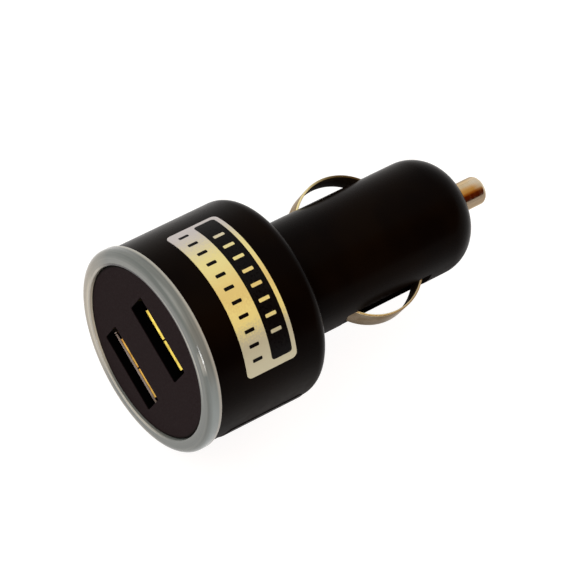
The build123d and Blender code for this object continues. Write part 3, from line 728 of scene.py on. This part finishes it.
def strip_cover(shades, sizes, nose_cut, middle, bow_x, bow):
    """Cover for a side contact: its inner face is dark with painted shade and made dull, and its cut sides
    carry a painted highlight near the head that goes over to another shade towards the nose. A point is on
    the inner face if it lies less than the bow's radius from the bow's centre."""
    half_width, half_chord = sizes.strip_width / 2, sizes.strip_chord / 2

    def cover(finish, plating, rough):
        mirrored = finish.vector("ABSOLUTE", "Vector", finish.place)
        flat = finish.vector("MULTIPLY", "Vector", mirrored, (1.0, 1.0, 0.0))
        reach = finish.vector("DISTANCE", "Value", flat, (bow_x, middle, 0.0))
        # Painted shade on the inner face, which is also made dull and not metal.
        inner = finish.fade(reach, bow, bow - sizes.strip_thickness / 4)
        finish.set("Metallic", finish.fade(inner, 1.0, 0.0))
        finish.set("Specular IOR Level", STRIP_INNER_SHINE)
        dull = finish.math("MAXIMUM", rough, finish.both(inner, STRIP_INNER_ROUGHNESS))
        # Painted highlight on the cut sides near the head, going over to another shade towards the nose.
        cut = finish.fade(finish.axis("Z", mirrored), STRIP_CUT_SHARE * half_width, half_width)
        along = finish.fade(finish.axis("Y", mirrored), middle - half_chord, middle + half_chord / 2)
        sides = finish.ramp(along, (0.0, shades.strip_cut_highlight), (1.0, nose_cut))
        return finish.mixed(cut, finish.mixed(inner, plating, shades.strip_inner_shade), sides), dull
    return cover


def pin_cover(shades, radius):
    """Cover for the centre pin: a band of painted dark warm reflection along its top, which fades before the
    pin's end, and painted shade on its sides."""
    def cover(finish, plating, rough):
        # Painted shade on the pin's right and left sides.
        for name in ("pin_right", "pin_left"):
            plating = finish.mixed(finish.flank(name, radius), plating, shades.pin_shaded_sides)
        # Painted dark warm reflection along the pin's top, fading before its end.
        end = finish.band("pin_end", finish.axis("Y"), pin_high.y)
        reflection = finish.both(finish.flank("pin_top", radius), end)
        return finish.mixed(reflection, plating, shades.pin_dark_reflection), rough
    return cover


def plain_plastic(name, shade, mottle, roughness, scale, shine=0.4):
    """Plain moulded plastic with a soft mottle."""
    finish = Finish(name, roughness, Specular_IOR_Level=shine)
    lumps = finish.noise(scale)
    finish.set("Base Color", finish.ramp(lumps, (0.35, shade), (0.7, mottle)))
    finish.set("Roughness", finish.roughened(lumps, less=0.06, more=0.08))
    finish.bump(lumps, depth=5e-6, strength=0.4)
    return finish.material


def dress(finish, *names):
    """Give CAD nodes a finish."""
    for name in names:
        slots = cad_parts[name].data.materials
        slots.clear()
        slots.append(finish)


def head_radius_at(station, sizes):
    """Radius of the head's outside at a station along the axis."""
    start = ring_low.y + sizes.ring_depth
    widening = sizes.head_rear_radius - sizes.head_front_radius
    return sizes.head_front_radius + (station - start) / -start * widening


def wrapped_patch(start, width, middle, around, base, thickness, corner, sizes):
    """Sheet bent round the head. v runs along the axis and u round it; within a corner's reach of an end of
    v the half length shrinks by corner - sqrt(corner^2 - depth^2), which rounds the four corners."""
    near = corner * (1.0 - np.cos(np.linspace(0.0, pi / 2, CORNER_ROWS)))
    straight = np.linspace(corner, width - corner, PATCH_ROWS)[1:-1]
    along = np.concatenate([near, straight, (width - near)[::-1]])
    depth = np.clip(corner - np.minimum(along, width - along), 0.0, corner)
    half = around / 2 - corner + np.sqrt(np.clip(corner**2 - depth**2, 0.0, None))
    station = (start + along)[:, None]
    under = head_radius_at(station, sizes) + base
    across = np.linspace(-1.0, 1.0, max(PATCH_COLUMNS, int(around / PATCH_STEP)))
    angle = radians(middle) + half[:, None] * across / head_radius_at(start + width / 2, sizes)
    unit = np.stack([np.cos(angle), 0.0 * angle, np.sin(angle)], -1)
    axis = np.array([0.0, 1.0, 0.0])
    bottom = under[..., None] * unit + station[..., None] * axis
    top = (under + thickness)[..., None] * unit + station[..., None] * axis
    return closed_sheet(top, bottom)


class ChargerStep:
    """What the steps share."""

    bl_options = {"REGISTER", "UNDO"}

    def settings(self, context):
        return context.scene.charger_sizes, context.scene.charger_finishes


class CHARGER_OT_housing(ChargerStep, bpy.types.Operator):
    """Head and barrel as one hollow moulding with slots for the side contacts"""

    bl_idname = "charger.housing"
    bl_label = "Housing"

    def execute(self, context):
        """One closed profile, outside then inside, turned about Y. Each row's columns are spaced so that the
        slots' edges fall on columns at z = +-half the slot's width, the slots' corners are drawn in by what
        a round takes off, and the slots' quads are left out and walled."""
        sizes, shades = self.settings(context)
        front, tip = housing_low.y, housing_high.y
        face, rear, round_ = sizes.head_front_radius, sizes.head_rear_radius, sizes.shoulder_round
        barrel, root, hole = sizes.barrel_radius, sizes.root_round, sizes.pin_hole_radius
        bore, head_bore, shoulder = barrel - sizes.barrel_wall, face - sizes.head_wall, -sizes.shoulder_wall
        middle = (leaf_low.y + leaf_high.y) / 2
        reach, corner = sizes.slot_length / 2, sizes.slot_corner
        slot = np.concatenate([[-reach], np.linspace(corner - reach, reach - corner, SLOT_ROWS), [reach]])
        slot = slot + middle
        inner_round = sizes.nose_round - sizes.nose_wall
        inner_tip = tip - sizes.nose_wall
        nose, inner_nose = tip - sizes.nose_round, inner_tip - inner_round
        to_slot = np.concatenate([
            run((face, front), (rear, -round_), 30),
            turn((rear - round_, -round_), round_, 0, 90, 20),
            run((rear - round_, 0.0), (barrel + root, 0.0), 10),
            turn((barrel + root, root), root, 270, 180, 8),
            run((barrel, root), (barrel, slot[0]), 12),
        ])
        outside = np.concatenate([
            to_slot,
            np.stack([np.full_like(slot, barrel), slot], -1),
            run((barrel, slot[-1]), (barrel, nose), 6)[1:],
            turn((barrel - sizes.nose_round, nose), sizes.nose_round, 0, 90, 32),
            run((barrel - sizes.nose_round, tip), (hole, tip), 3),
        ])
        back_to_slot = np.concatenate([
            chain((hole, tip, 3), (hole, inner_tip, 2), (bore - inner_round, inner_tip)),
            turn((bore - inner_round, inner_nose), inner_round, 90, 0, 10),
            run((bore, inner_nose), (bore, slot[-1]), 3),
        ])
        inside = np.concatenate([
            back_to_slot,
            np.stack([np.full_like(slot, bore), slot[::-1]], -1),
            chain(
                (bore, slot[0], 4), (bore, shoulder, 4), (head_bore, shoulder, 6), (head_bore, front, 2),
                (face, front)
            )[1:],
        ])
        profile = np.concatenate([outside, inside])
        outer_slot, inner_slot = len(to_slot), len(outside) + len(back_to_slot)
        half = sizes.slot_width / 2
        edge = np.where(np.arange(len(profile)) < len(outside), barrel, bore)
        edge = np.arcsin(half / edge)[:, None]
        inset = corner / half
        in_slot = np.concatenate([[-1.0], np.linspace(inset - 1.0, 1.0 - inset, SLOT_COLUMNS)])
        rest = np.linspace(0.0, 1.0, REST_COLUMNS, endpoint=False)
        side = np.concatenate([edge * in_slot, edge + (pi - 2.0 * edge) * rest], 1)
        angles = np.concatenate([side, side + pi], 1)
        points = spin(profile, angles)
        rows, columns = angles.shape
        strip, count = len(in_slot), len(slot)
        keep = np.ones((rows, columns), bool)
        walls = []
        nip = corner * (1.0 - np.sqrt(0.5))
        ends = np.array([outer_slot, outer_slot + count - 1, inner_slot, inner_slot + count - 1])
        nipped = profile[ends] + nip * np.outer((1.0, -1.0, -1.0, 1.0), (0.0, 1.0))
        for first in (0, columns // 2):
            across = (first + np.arange(strip + 1)) % columns
            corners = np.ix_(ends, across[[0, -1]])
            points[corners] = spin(nipped, angles[corners] + nip * np.array([1.0, -1.0]) / nipped[:, :1])
            for start in (outer_slot, inner_slot):
                keep[start:start + count - 1, first:first + strip] = False
            out_loop = block_border(outer_slot + np.arange(count), across, columns)
            in_loop = block_border((inner_slot + np.arange(count))[::-1], across, columns)
            walls.append(np.stack([out_loop, np.roll(out_loop, -1), np.roll(in_loop, -1), in_loop], -1))
        faces = np.concatenate([grid_quads(rows, columns, True, True)[keep], *walls])
        finish = gloss_moulding(shades)
        make_piece("housing_shell", points, faces, finish, "gloss_black", BODY, ["housing"])
        return {"FINISHED"}


class CHARGER_OT_light_ring(ChargerStep, bpy.types.Operator):
    """Milky ring round the port face"""

    bl_idname = "charger.light_ring"
    bl_label = "Light ring"

    def execute(self, context):
        """Closed profile of runs and small arcs, turned about Y."""
        sizes, shades = self.settings(context)
        front, outer = ring_low.y, ring_high.x
        inner, back, end = outer - sizes.ring_face, front + sizes.ring_depth, ring_high.y
        seat, big, small = front + sizes.ring_seat, sizes.ring_round, sizes.ring_edge
        spigot, bore = sizes.ring_spigot_outer, sizes.ring_spigot_inner
        profile = np.concatenate([
            turn((inner + small, front + small), small, 180, 270, 8),
            run((inner + small, front), (outer - big, front), 8),
            turn((outer - big, front + big), big, -90, 0, 16),
            run((outer, front + big), (outer, back - small), 6),
            turn((outer - small, back - small), small, 0, 90, 8),
            chain(
                (outer - small, back, 4), (spigot, back, 3), (spigot, end, 2), (bore, end, 3),
                (bore, seat, 2), (inner, seat, 3), (inner, front + small)
            ),
        ])
        surface = turned(profile, RING_STEPS, True)
        finish = milky_plastic(shades, sizes)
        make_piece("glow_ring", *surface, finish, "milky_ring", BODY, ["light_ring"])
        return {"FINISHED"}


class CHARGER_OT_labels(ChargerStep, bpy.types.Operator):
    """Foil label with its black band and plain marks, and the plain sticker"""

    bl_idname = "charger.labels"
    bl_label = "Labels"

    def bars(self, start, height, run_length, count, base, sizes):
        """Row of equal plain bars: the same small sheet turned about the axis at even steps."""
        radius = head_radius_at(ring_low.y + start, sizes)
        turns = np.degrees(np.linspace(-0.5, 0.5, count) * (run_length - sizes.mark_width) / radius)
        sheets = [
            wrapped_patch(
                ring_low.y + start, height, MARKS_ANGLE + step, sizes.mark_width, base,
                2.0 * sizes.ink_sheet, sizes.mark_width / 4, sizes
            )
            for step in turns
        ]
        points = np.concatenate([points for points, faces in sheets])
        each = len(sheets[0][0])
        return points, np.concatenate([faces + k * each for k, (_, faces) in enumerate(sheets)])

    def execute(self, context):
        """Rounded sheets bent round the head; the marks are rows of short plain bars, evenly spaced."""
        sizes, shades = self.settings(context)
        foil = satin_foil(shades)
        ink = plain_plastic(
            "printed_ink", shades.ink, shades.ink_mottle, roughness=0.3, scale=2200.0, shine=0.06
        )
        film = plain_plastic(
            "sticker_film", shades.sticker, shades.sticker_mottle, roughness=0.5, scale=1200.0, shine=0.02
        )
        start, width = badge_low.y, badge_high.y - badge_low.y
        radius = head_radius_at(start + width / 2, sizes) + sizes.badge_sheet
        around = 2.0 * radius * np.arcsin(badge_high.x / radius)
        badge = wrapped_patch(
            start, width, BADGE_ANGLE, around, 0.0, sizes.badge_sheet, sizes.badge_corner, sizes
        )
        make_piece("badge_foil", *badge, foil, "foil", BODY, ["badge_label"])
        lift = sizes.badge_sheet - sizes.ink_sheet
        band = wrapped_patch(
            ring_low.y + sizes.band_from_front, sizes.band_width, BAND_ANGLE, sizes.band_length, lift,
            2.0 * sizes.ink_sheet, sizes.band_corner, sizes
        )
        make_piece("badge_band", *band, ink, "black_sticker", BODY)
        marks = self.bars(
            sizes.front_marks_start, sizes.front_marks_height, sizes.front_marks_run, FRONT_BARS, lift, sizes
        )
        make_piece("front_marks", *marks, ink, "black_sticker", BODY)
        marks = self.bars(
            sizes.rear_marks_start, sizes.rear_marks_height, sizes.rear_marks_run, REAR_BARS,
            lift + sizes.ink_sheet, sizes
        )
        make_piece("rear_marks", *marks, foil, "foil", BODY)
        sticker = wrapped_patch(
            sticker_low.y, sticker_high.y - sticker_low.y, STICKER_ANGLE, sizes.sticker_length, 0.0,
            sizes.sticker_sheet, sizes.badge_corner, sizes
        )
        make_piece("plain_sticker", *sticker, film, "black_sticker", BODY, ["side_label"])
        return {"FINISHED"}


class CHARGER_OT_side_contacts(ChargerStep, bpy.types.Operator):
    """Bowed side contacts"""

    bl_idname = "charger.side_contacts"
    bl_label = "Side contacts"

    def execute(self, context):
        """Rounded flat section carried along foot, small bend and bow, and mirrored: each point of the path
        adds its normal times the section's thickness and Z times its width."""
        sizes, shades = self.settings(context)
        thick, middle = sizes.strip_thickness, (leaf_low.y + leaf_high.y) / 2
        foot_x, bend, height = leaf_low.x + thick / 2, sizes.strip_bend, sizes.strip_height
        bow = (sizes.strip_chord**2 / 4 + height**2) / (2.0 * height) - thick / 2
        bow_x, bend_x = leaf_high.x - thick / 2 - bow, foot_x + bend
        reach = np.sqrt((bow + bend) ** 2 - (bend_x - bow_x) ** 2)
        lean = np.degrees(np.arctan2(reach, bend_x - bow_x))
        half = np.concatenate([
            turn((bow_x, 0.0), bow, 0.0, lean, 48),
            turn((bend_x, reach), bend, lean - 180.0, -180.0, 10),
            run((foot_x, reach), (foot_x, reach + sizes.strip_foot), 6),
            [(foot_x, reach + sizes.strip_foot)],
        ])
        path = np.concatenate([half[:0:-1] * (1.0, -1.0), half])
        slope = np.gradient(path, axis=0)
        slope /= np.linalg.norm(slope, axis=1, keepdims=True)
        normal = np.stack([slope[:, 1], -slope[:, 0]], -1)
        edge = sizes.strip_edge
        out, wide = thick / 2 - edge, sizes.strip_width / 2 - edge
        corners = ((out, wide), (-out, wide), (-out, -wide), (out, -wide))
        section = np.concatenate([
            turn(corner, edge, 90 * quarter, 90 * (quarter + 1), 4) for quarter, corner in enumerate(corners)
        ])
        flat = path[:, None, :] + normal[:, None, :] * section[None, :, :1]
        width = np.broadcast_to(section[None, :, 1], flat.shape[:2])
        count, loop = flat.shape[:2]
        sides = grid_quads(count, loop, False, True).reshape(-1, 4)
        pairs = np.arange(loop // 2 - 1)
        cap = np.stack([pairs, pairs + 1, loop - 2 - pairs, loop - 1 - pairs], -1)
        faces = np.concatenate([sides, cap, cap + (count - 1) * loop])
        # The right contact gets the shaded copy of the plating and a fainter highlight on its cut sides; the
        # left one gets painted shade on its cut sides at the nose.
        for side, hand, bright, worn, nose_cut in (
            (1.0, "right", shades.strip_shaded, shades.strip_shaded_worn, shades.strip_cut_faint_highlight),
            (-1.0, "left", shades.strip, shades.strip_worn, shades.strip_cut_shade),
        ):
            points = np.stack([side * flat[..., 0], flat[..., 1] + middle, width], -1)
            finish = worn_metal(
                f"plated_strip_{hand}", bright, worn, roughness=0.3, grain=900.0, stretch=(1.0, 0.12, 3.0),
                spots=420.0, cover=strip_cover(shades, sizes, nose_cut, middle, bow_x, bow),
                edge_tint=STRIP_EDGE_TINT
            )
            node = f"side_contact_{hand}"
            make_piece(f"bowed_strip_{hand}", points, faces, finish, "leaf_metal", node, [node])
        return {"FINISHED"}


class CHARGER_OT_centre_pin(ChargerStep, bpy.types.Operator):
    """Centre pin at the nose"""

    bl_idname = "charger.centre_pin"
    bl_label = "Centre pin"

    def execute(self, context):
        """Profile from the spring's spigot over the flange to the rounded end, turned about Y and closed on
        the axis."""
        sizes, shades = self.settings(context)
        start, tip, flange = pin_low.y, pin_high.y, pin_low.y + sizes.pin_spigot
        collar = flange + sizes.pin_flange
        wide, thin, radius, round_ = pin_high.x, sizes.pin_spigot_radius, sizes.pin_radius, sizes.pin_round
        profile = np.concatenate([
            chain(
                (0.0, start, 3), (thin, start, 3), (thin, flange, 3), (wide, flange, 2), (wide, collar, 2),
                (radius, collar, 16), (radius, tip - round_)
            ),
            turn((radius - round_, tip - round_), round_, 0, 90, 12),
            run((radius - round_, tip), (0.0, tip), 4),
            [(0.0, tip)],
        ])
        finish = worn_metal(
            "turned_pin", shades.pin, shades.pin_worn, roughness=0.13, grain=260.0, stretch=(1.0, 6.0, 1.0),
            spots=150.0, cover=pin_cover(shades, radius), edge_tint=PIN_EDGE_TINT
        )
        surface = turned(profile, PIN_STEPS, False)
        make_piece("centre_pin", *surface, finish, "pin_metal", "tip_contact", ["tip_contact"])
        return {"FINISHED"}


class CHARGER_OT_spring(ChargerStep, bpy.types.Operator):
    """Coil spring behind the pin"""

    bl_idname = "charger.spring"
    bl_label = "Spring"

    def execute(self, context):
        """Round wire carried along a helix about Y, with its ends closed."""
        sizes, shades = self.settings(context)
        wire = sizes.spring_wire / 2
        start, end = spring_low.y + wire, spring_high.y - wire
        along = np.linspace(0.0, 1.0, SPRING_STEPS)
        angle, coil = 2.0 * pi * SPRING_TURNS * along, spring_high.x - wire
        path = np.stack([coil * np.cos(angle), start + (end - start) * along, -coil * np.sin(angle)], -1)
        out = np.stack([np.cos(angle), 0.0 * angle, -np.sin(angle)], -1)
        slope = np.gradient(path, axis=0)
        slope /= np.linalg.norm(slope, axis=1, keepdims=True)
        up = np.cross(slope, out)
        ring = np.linspace(0.0, 2.0 * pi, WIRE_STEPS, endpoint=False)[:, None]
        tube = path[:, None] + wire * (np.cos(ring) * out[:, None] + np.sin(ring) * up[:, None])
        first, last = (np.repeat(end_, WIRE_STEPS, 1) for end_ in (path[:1, None], path[-1:, None]))
        points = np.concatenate([first, tube, last])
        finish = worn_metal(
            "drawn_wire", shades.spring, shades.spring_worn, roughness=0.3, grain=2500.0,
            stretch=(1.0, 0.3, 1.0), spots=800.0
        )
        faces = grid_quads(points.shape[0], points.shape[1], False, True)
        spring = make_piece("coil_spring", points, faces, finish, "spring_steel", BODY, ["tip_spring"])
        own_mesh(spring)
        return {"FINISHED"}


class CHARGER_OT_inner_finishes(ChargerStep, bpy.types.Operator):
    """Finishes of the front plate, the ports and the electronics, whose solids show as they are"""

    bl_idname = "charger.inner_finishes"
    bl_label = "Plate, ports and electronics"

    def execute(self, context):
        """Only finishes: the solids' own forms are right."""
        shades = self.settings(context)[1]
        dress(grained_plate(shades), "front_cap")
        for port, gilt, worn in (
            ("upper", shades.gilt, shades.gilt_worn), ("lower", shades.gilt_orange, shades.gilt_orange_worn)
        ):
            sheet = worn_metal(
                f"gilt_sheet_{port}", gilt, worn, roughness=0.26, grain=1800.0, stretch=(0.2, 1.0, 1.0),
                spots=900.0
            )
            dress(sheet, f"usb_shell_{port}")
        for *look, names in INNER_PLASTICS:
            dress(plain_plastic(*look), *names)
        for *look, names in INNER_METALS:
            dress(worn_metal(*look), *names)
        return {"FINISHED"}


class CHARGER_OT_stage(bpy.types.Operator):
    """Pale floor, soft lamps and the camera"""

    bl_idname = "charger.stage"
    bl_label = "Stage"

    def floor(self, level, stage):
        """Wide flat grid at the lowest point of the head, with a lift that only shows to the camera and in
        gloss and glass."""
        steps = np.linspace(-FLOOR_HALF, FLOOR_HALF, FLOOR_STEPS)
        x, y = np.meshgrid(steps, steps, indexing="ij")
        points = np.stack([x, y, np.full_like(x, level)], -1)
        faces = grid_quads(FLOOR_STEPS, FLOOR_STEPS)[..., ::-1]
        mesh = bpy.data.meshes.new("floor")
        mesh.from_pydata(points.reshape(-1, 3).tolist(), [], faces.reshape(-1, 4).tolist())
        floor = bpy.data.objects.new("floor", mesh)
        bpy.context.scene.collection.objects.link(floor)
        material = bpy.data.materials.new("floor_white")
        material.use_nodes = True
        nodes = Nodes(material.node_tree)
        nodes.tree.nodes.clear()
        diffuse, lift = nodes.node("ShaderNodeBsdfDiffuse"), nodes.node("ShaderNodeEmission")
        added, output = nodes.node("ShaderNodeAddShader"), nodes.node("ShaderNodeOutputMaterial")
        rays = nodes.node("ShaderNodeLightPath").outputs
        seen = nodes.math("MAXIMUM", rays["Is Camera Ray"], rays["Is Glossy Ray"])
        seen = nodes.math("MAXIMUM", seen, rays["Is Transmission Ray"])
        nodes.feed(diffuse.inputs["Color"], (stage.floor_white,) * 3 + (1.0,))
        nodes.feed(lift.inputs["Strength"], nodes.both(seen, stage.floor_lift))
        nodes.feed(added.inputs[0], diffuse.outputs["BSDF"])
        nodes.feed(added.inputs[1], lift.outputs["Emission"])
        nodes.feed(output.inputs["Surface"], added.outputs["Shader"])
        mesh.materials.append(material)

    def sky(self, stage):
        """Soft sky: white near the horizon, so that the picture's background is white from every side, and
        above it pale on the left and warm and dark on the right."""
        world = bpy.data.worlds.new("soft_sky")
        world.use_nodes = True
        nodes = Nodes(world.node_tree)
        nodes.place = nodes.node("ShaderNodeTexCoord").outputs["Generated"]
        skies = (stage.sky_left, stage.sky_top, stage.sky_warm, stage.sky_dark)
        upper = nodes.ramp(nodes.fade(nodes.axis("X"), -1.0, 1.0), *zip(stage.sky_stops, skies))
        above = nodes.fade(nodes.axis("Z"), SKY_LOW, SKY_HIGH, "SMOOTHSTEP")
        background = nodes.tree.nodes["Background"]
        nodes.feed(background.inputs["Color"], nodes.mixed(above, WHITE, upper))
        bpy.context.scene.world = world

    def stand(self, name, data, axes, place):
        """Lamp or camera with its own right, up and back along three axes, at a place."""
        matrix = np.eye(4)
        matrix[:3] = np.stack([*axes, place], -1)
        made = bpy.data.objects.new(name, data)
        made.matrix_world = Matrix(matrix.tolist())
        bpy.context.scene.collection.objects.link(made)
        return made

    def lamp(self, name, watts, side, place, tint):
        """Square soft lamp at a place, facing the plug."""
        data = bpy.data.lights.new(name, "AREA")
        data.energy, data.shape, data.size, data.color = watts, "SQUARE", side, tint
        back = np.array(place) - np.array(LAMP_AIM)
        back /= np.linalg.norm(back)
        right = np.cross(UPWARDS, back)
        right /= np.linalg.norm(right)
        self.stand(name, data, (right, np.cross(back, right), back), place)

    def camera(self, stage):
        """Camera at the photograph's angle: its axes, place and lens, with a small shift for the framing."""
        data = bpy.data.cameras.new("camera")
        data.lens, data.sensor_width, data.sensor_fit = stage.lens, SENSOR_WIDTH, "HORIZONTAL"
        data.shift_x, data.shift_y = (pixels / IMAGE_SIDE for pixels in CAMERA_SHIFT)
        data.clip_start, data.clip_end = CLIP_START, CLIP_END
        bpy.context.scene.camera = self.stand("camera", data, CAMERA_AXES, tuple(stage.camera_place))

    def execute(self, context):
        """Builds the stage."""
        stage = context.scene.charger_stage
        self.floor(ring_low.z, stage)
        self.sky(stage)
        for name, watts in (("key_lamp", stage.key_power), ("fill_lamp", stage.fill_power)):
            self.lamp(name, watts, *LAMPS[name])
        self.camera(stage)
        context.scene.view_settings.view_transform = "Standard"
        return {"FINISHED"}


class CHARGER_PT_panel(bpy.types.Panel):
    """Lists the steps"""

    bl_idname = "CHARGER_PT_panel"
    bl_label = "Car charger plug"
    bl_space_type = "VIEW_3D"
    bl_region_type = "UI"
    bl_category = "Charger"

    def draw(self, context):
        for step in STEPS:
            self.layout.operator(step.bl_idname)


STEPS = (
    CHARGER_OT_housing,
    CHARGER_OT_light_ring,
    CHARGER_OT_labels,
    CHARGER_OT_side_contacts,
    CHARGER_OT_centre_pin,
    CHARGER_OT_spring,
    CHARGER_OT_inner_finishes,
    CHARGER_OT_stage,
)
GROUPS = {
    "charger_sizes": CHARGER_PG_sizes,
    "charger_finishes": CHARGER_PG_finishes,
    "charger_stage": CHARGER_PG_stage,
}


def register():
    for cls in (*GROUPS.values(), *STEPS, CHARGER_PT_panel):
        bpy.utils.register_class(cls)
    for name, group in GROUPS.items():
        setattr(bpy.types.Scene, name, bpy.props.PointerProperty(type=group))


def unregister():
    for name in GROUPS:
        delattr(bpy.types.Scene, name)
    for cls in reversed((*GROUPS.values(), *STEPS, CHARGER_PT_panel)):
        bpy.utils.unregister_class(cls)


def main():
    register()
    bpy.ops.charger.housing()
    bpy.ops.charger.light_ring()
    bpy.ops.charger.labels()
    bpy.ops.charger.side_contacts()
    bpy.ops.charger.centre_pin()
    bpy.ops.charger.spring()
    bpy.ops.charger.inner_finishes()
    bpy.ops.charger.stage()


if __name__ == "__main__":
    main()
